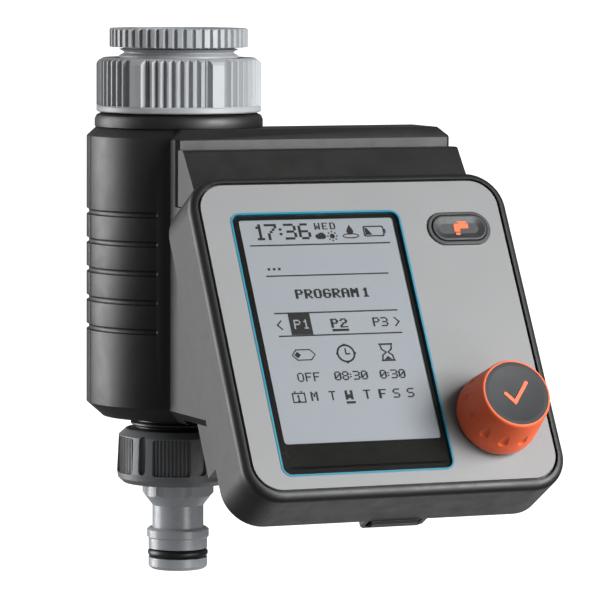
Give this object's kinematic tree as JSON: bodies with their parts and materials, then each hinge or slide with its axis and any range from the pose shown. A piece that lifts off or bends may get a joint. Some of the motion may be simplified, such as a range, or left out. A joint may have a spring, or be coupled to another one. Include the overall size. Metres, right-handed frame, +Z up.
{
  "type": "irrigation controller",
  "caption": "Tap-hung irrigation controller: barrel valve with union nut and hose connector, and a tilted lift-off control unit with display, push button and turning knob.",
  "frame": {"origin": "centre of the tap adapter's mouth, on its top face", "axes": "+Z up along the tap axis, towards the tap; -Y towards the user, the way the control unit faces; +X to the user's right"},
  "size_m": [0.1015, 0.1272, 0.1503],
  "materials": {
    "housing_black": "fine spark texture, satin",
    "core_black": "glass-filled, semi-matt",
    "nut_grey": "moulded, satin",
    "connector_grey": "moulded, satin",
    "nipple_grey": "moulded, satin",
    "rubber_black": "moulded rubber",
    "filter_grey": "moulded",
    "bobbin_white": "natural nylon",
    "copper": "enamelled winding",
    "steel": "stainless",
    "contact_brass": "plated contact",
    "lead_red": "insulated lead",
    "plate_silver": "fine silver paint",
    "trim_blue": "moulded, glossy",
    "lens_glass": "clear, polished",
    "mask_black": "printed black",
    "lcd_grey": "reflective display",
    "board_green": "solder resist",
    "control_dark": "fine texture, matt",
    "accent_orange": "satin orange",
    "battery_wrap": "printed steel can"
  },
  "bodies": {
    "valve_unit": {"valve_front_shell": "housing_black", "valve_rear_shell": "housing_black", "shell_screws": "steel", "wing_hatch": "housing_black", "hatch_screws": "steel", "inlet_collar": "housing_black", "inlet_body": "core_black", "outlet_body": "core_black", "body_o_ring": "rubber_black", "inlet_washer": "rubber_black", "inlet_filter": "filter_grey", "solenoid_can": "core_black", "solenoid_cap": "core_black", "coil_bobbin": "bobbin_white", "solenoid_coil": "copper", "fixed_core": "steel", "plunger_spring": "steel", "contact_block": "bobbin_white", "contact_pins": "contact_brass", "coil_leads": "lead_red"},
    "plunger": {"valve_plunger": "steel", "valve_disc": "rubber_black"},
    "swivel_nut": {"union_nut": "nut_grey"},
    "adapter_seal": {"tap_washer": "rubber_black"},
    "adapter": {"tap_adapter": "nut_grey"},
    "hose_tail": {"hose_nipple": "nipple_grey", "nipple_o_ring": "rubber_black", "outlet_washer": "rubber_black"},
    "hose_nut": {"connector_nut": "connector_grey"},
    "control_unit": {"control_bezel": "housing_black", "control_rear_cover": "housing_black", "case_screws": "steel", "contact_pads": "contact_brass", "battery_cover": "housing_black", "battery": "battery_wrap", "battery_snap": "housing_black", "face_plate": "plate_silver", "window_trim": "trim_blue", "display_lens": "lens_glass", "display_mask": "mask_black", "lcd_panel": "lcd_grey", "lcd_holder": "bobbin_white", "circuit_board": "board_green", "button_ring": "control_dark", "button_switch": "control_dark", "encoder_body": "control_dark"},
    "manual_button": {"button_cap": "control_dark", "button_icon": "accent_orange"},
    "knob_stem": {"encoder_shaft": "bobbin_white"},
    "knob": {"rotary_knob": "accent_orange", "knob_cap": "control_dark", "knob_check_mark": "accent_orange"},
    "latch": {"release_tab": "housing_black"}
  },
  "joints": [
    {"name": "valve_open", "type": "slide", "parent": "valve_unit", "child": "plunger", "axis": [0, 0, -1], "range_m": [0, 0.0025], "stiffness_N_per_m": 300, "springref_m": -0.002, "deforming": ["plunger_spring"]},
    {"name": "union_spin", "type": "hinge", "parent": "valve_unit", "child": "swivel_nut", "pos_m": [0, 0, -0.015], "axis": [0, 0, 1], "continuous": true},
    {"name": "adapter_lift", "type": "slide", "parent": "swivel_nut", "child": "adapter_seal", "axis": [0, 0, 1], "range_m": [0, 0.00693]},
    {"name": "adapter_turn", "type": "hinge", "parent": "adapter_seal", "child": "adapter", "pos_m": [0, 0, -0.006], "axis": [0, 0, 1], "range_deg": [0, 1080]},
    {"name": "tail_drop", "type": "slide", "parent": "valve_unit", "child": "hose_tail", "axis": [0, 0, -1], "range_m": [0, 0.00817]},
    {"name": "hose_nut_turn", "type": "hinge", "parent": "hose_tail", "child": "hose_nut", "pos_m": [0, 0, -0.118], "axis": [0, 0, -1], "range_deg": [0, 1620]},
    {"name": "control_lift_off", "type": "slide", "parent": "valve_unit", "child": "control_unit", "axis": [0, 0, 1], "range_m": [0, 0.06]},
    {"name": "button_press", "type": "slide", "parent": "control_unit", "child": "manual_button", "axis": [0, 0.8669, -0.4985], "range_m": [0, 0.0008], "stiffness_N_per_m": 1000, "springref_m": -0.0005},
    {"name": "knob_press", "type": "slide", "parent": "control_unit", "child": "knob_stem", "axis": [0, 0.8669, -0.4985], "range_m": [0, 0.0006], "stiffness_N_per_m": 1500, "springref_m": -0.0006},
    {"name": "knob_turn", "type": "hinge", "parent": "knob_stem", "child": "knob", "pos_m": [0.05748, -0.0884, -0.09918], "axis": [0, -0.8669, 0.4985], "continuous": true},
    {"name": "latch_press", "type": "slide", "parent": "control_unit", "child": "latch", "axis": [0, 0.4985, 0.8669], "range_m": [0, 0.0015], "stiffness_N_per_m": 600, "springref_m": -0.001}
  ],
  "couplings": [
    {"joint": "adapter_lift", "follows": "adapter_turn", "m_per_rad": 0.0003675},
    {"joint": "tail_drop", "follows": "hose_nut_turn", "m_per_rad": 0.0002887}
  ]
}
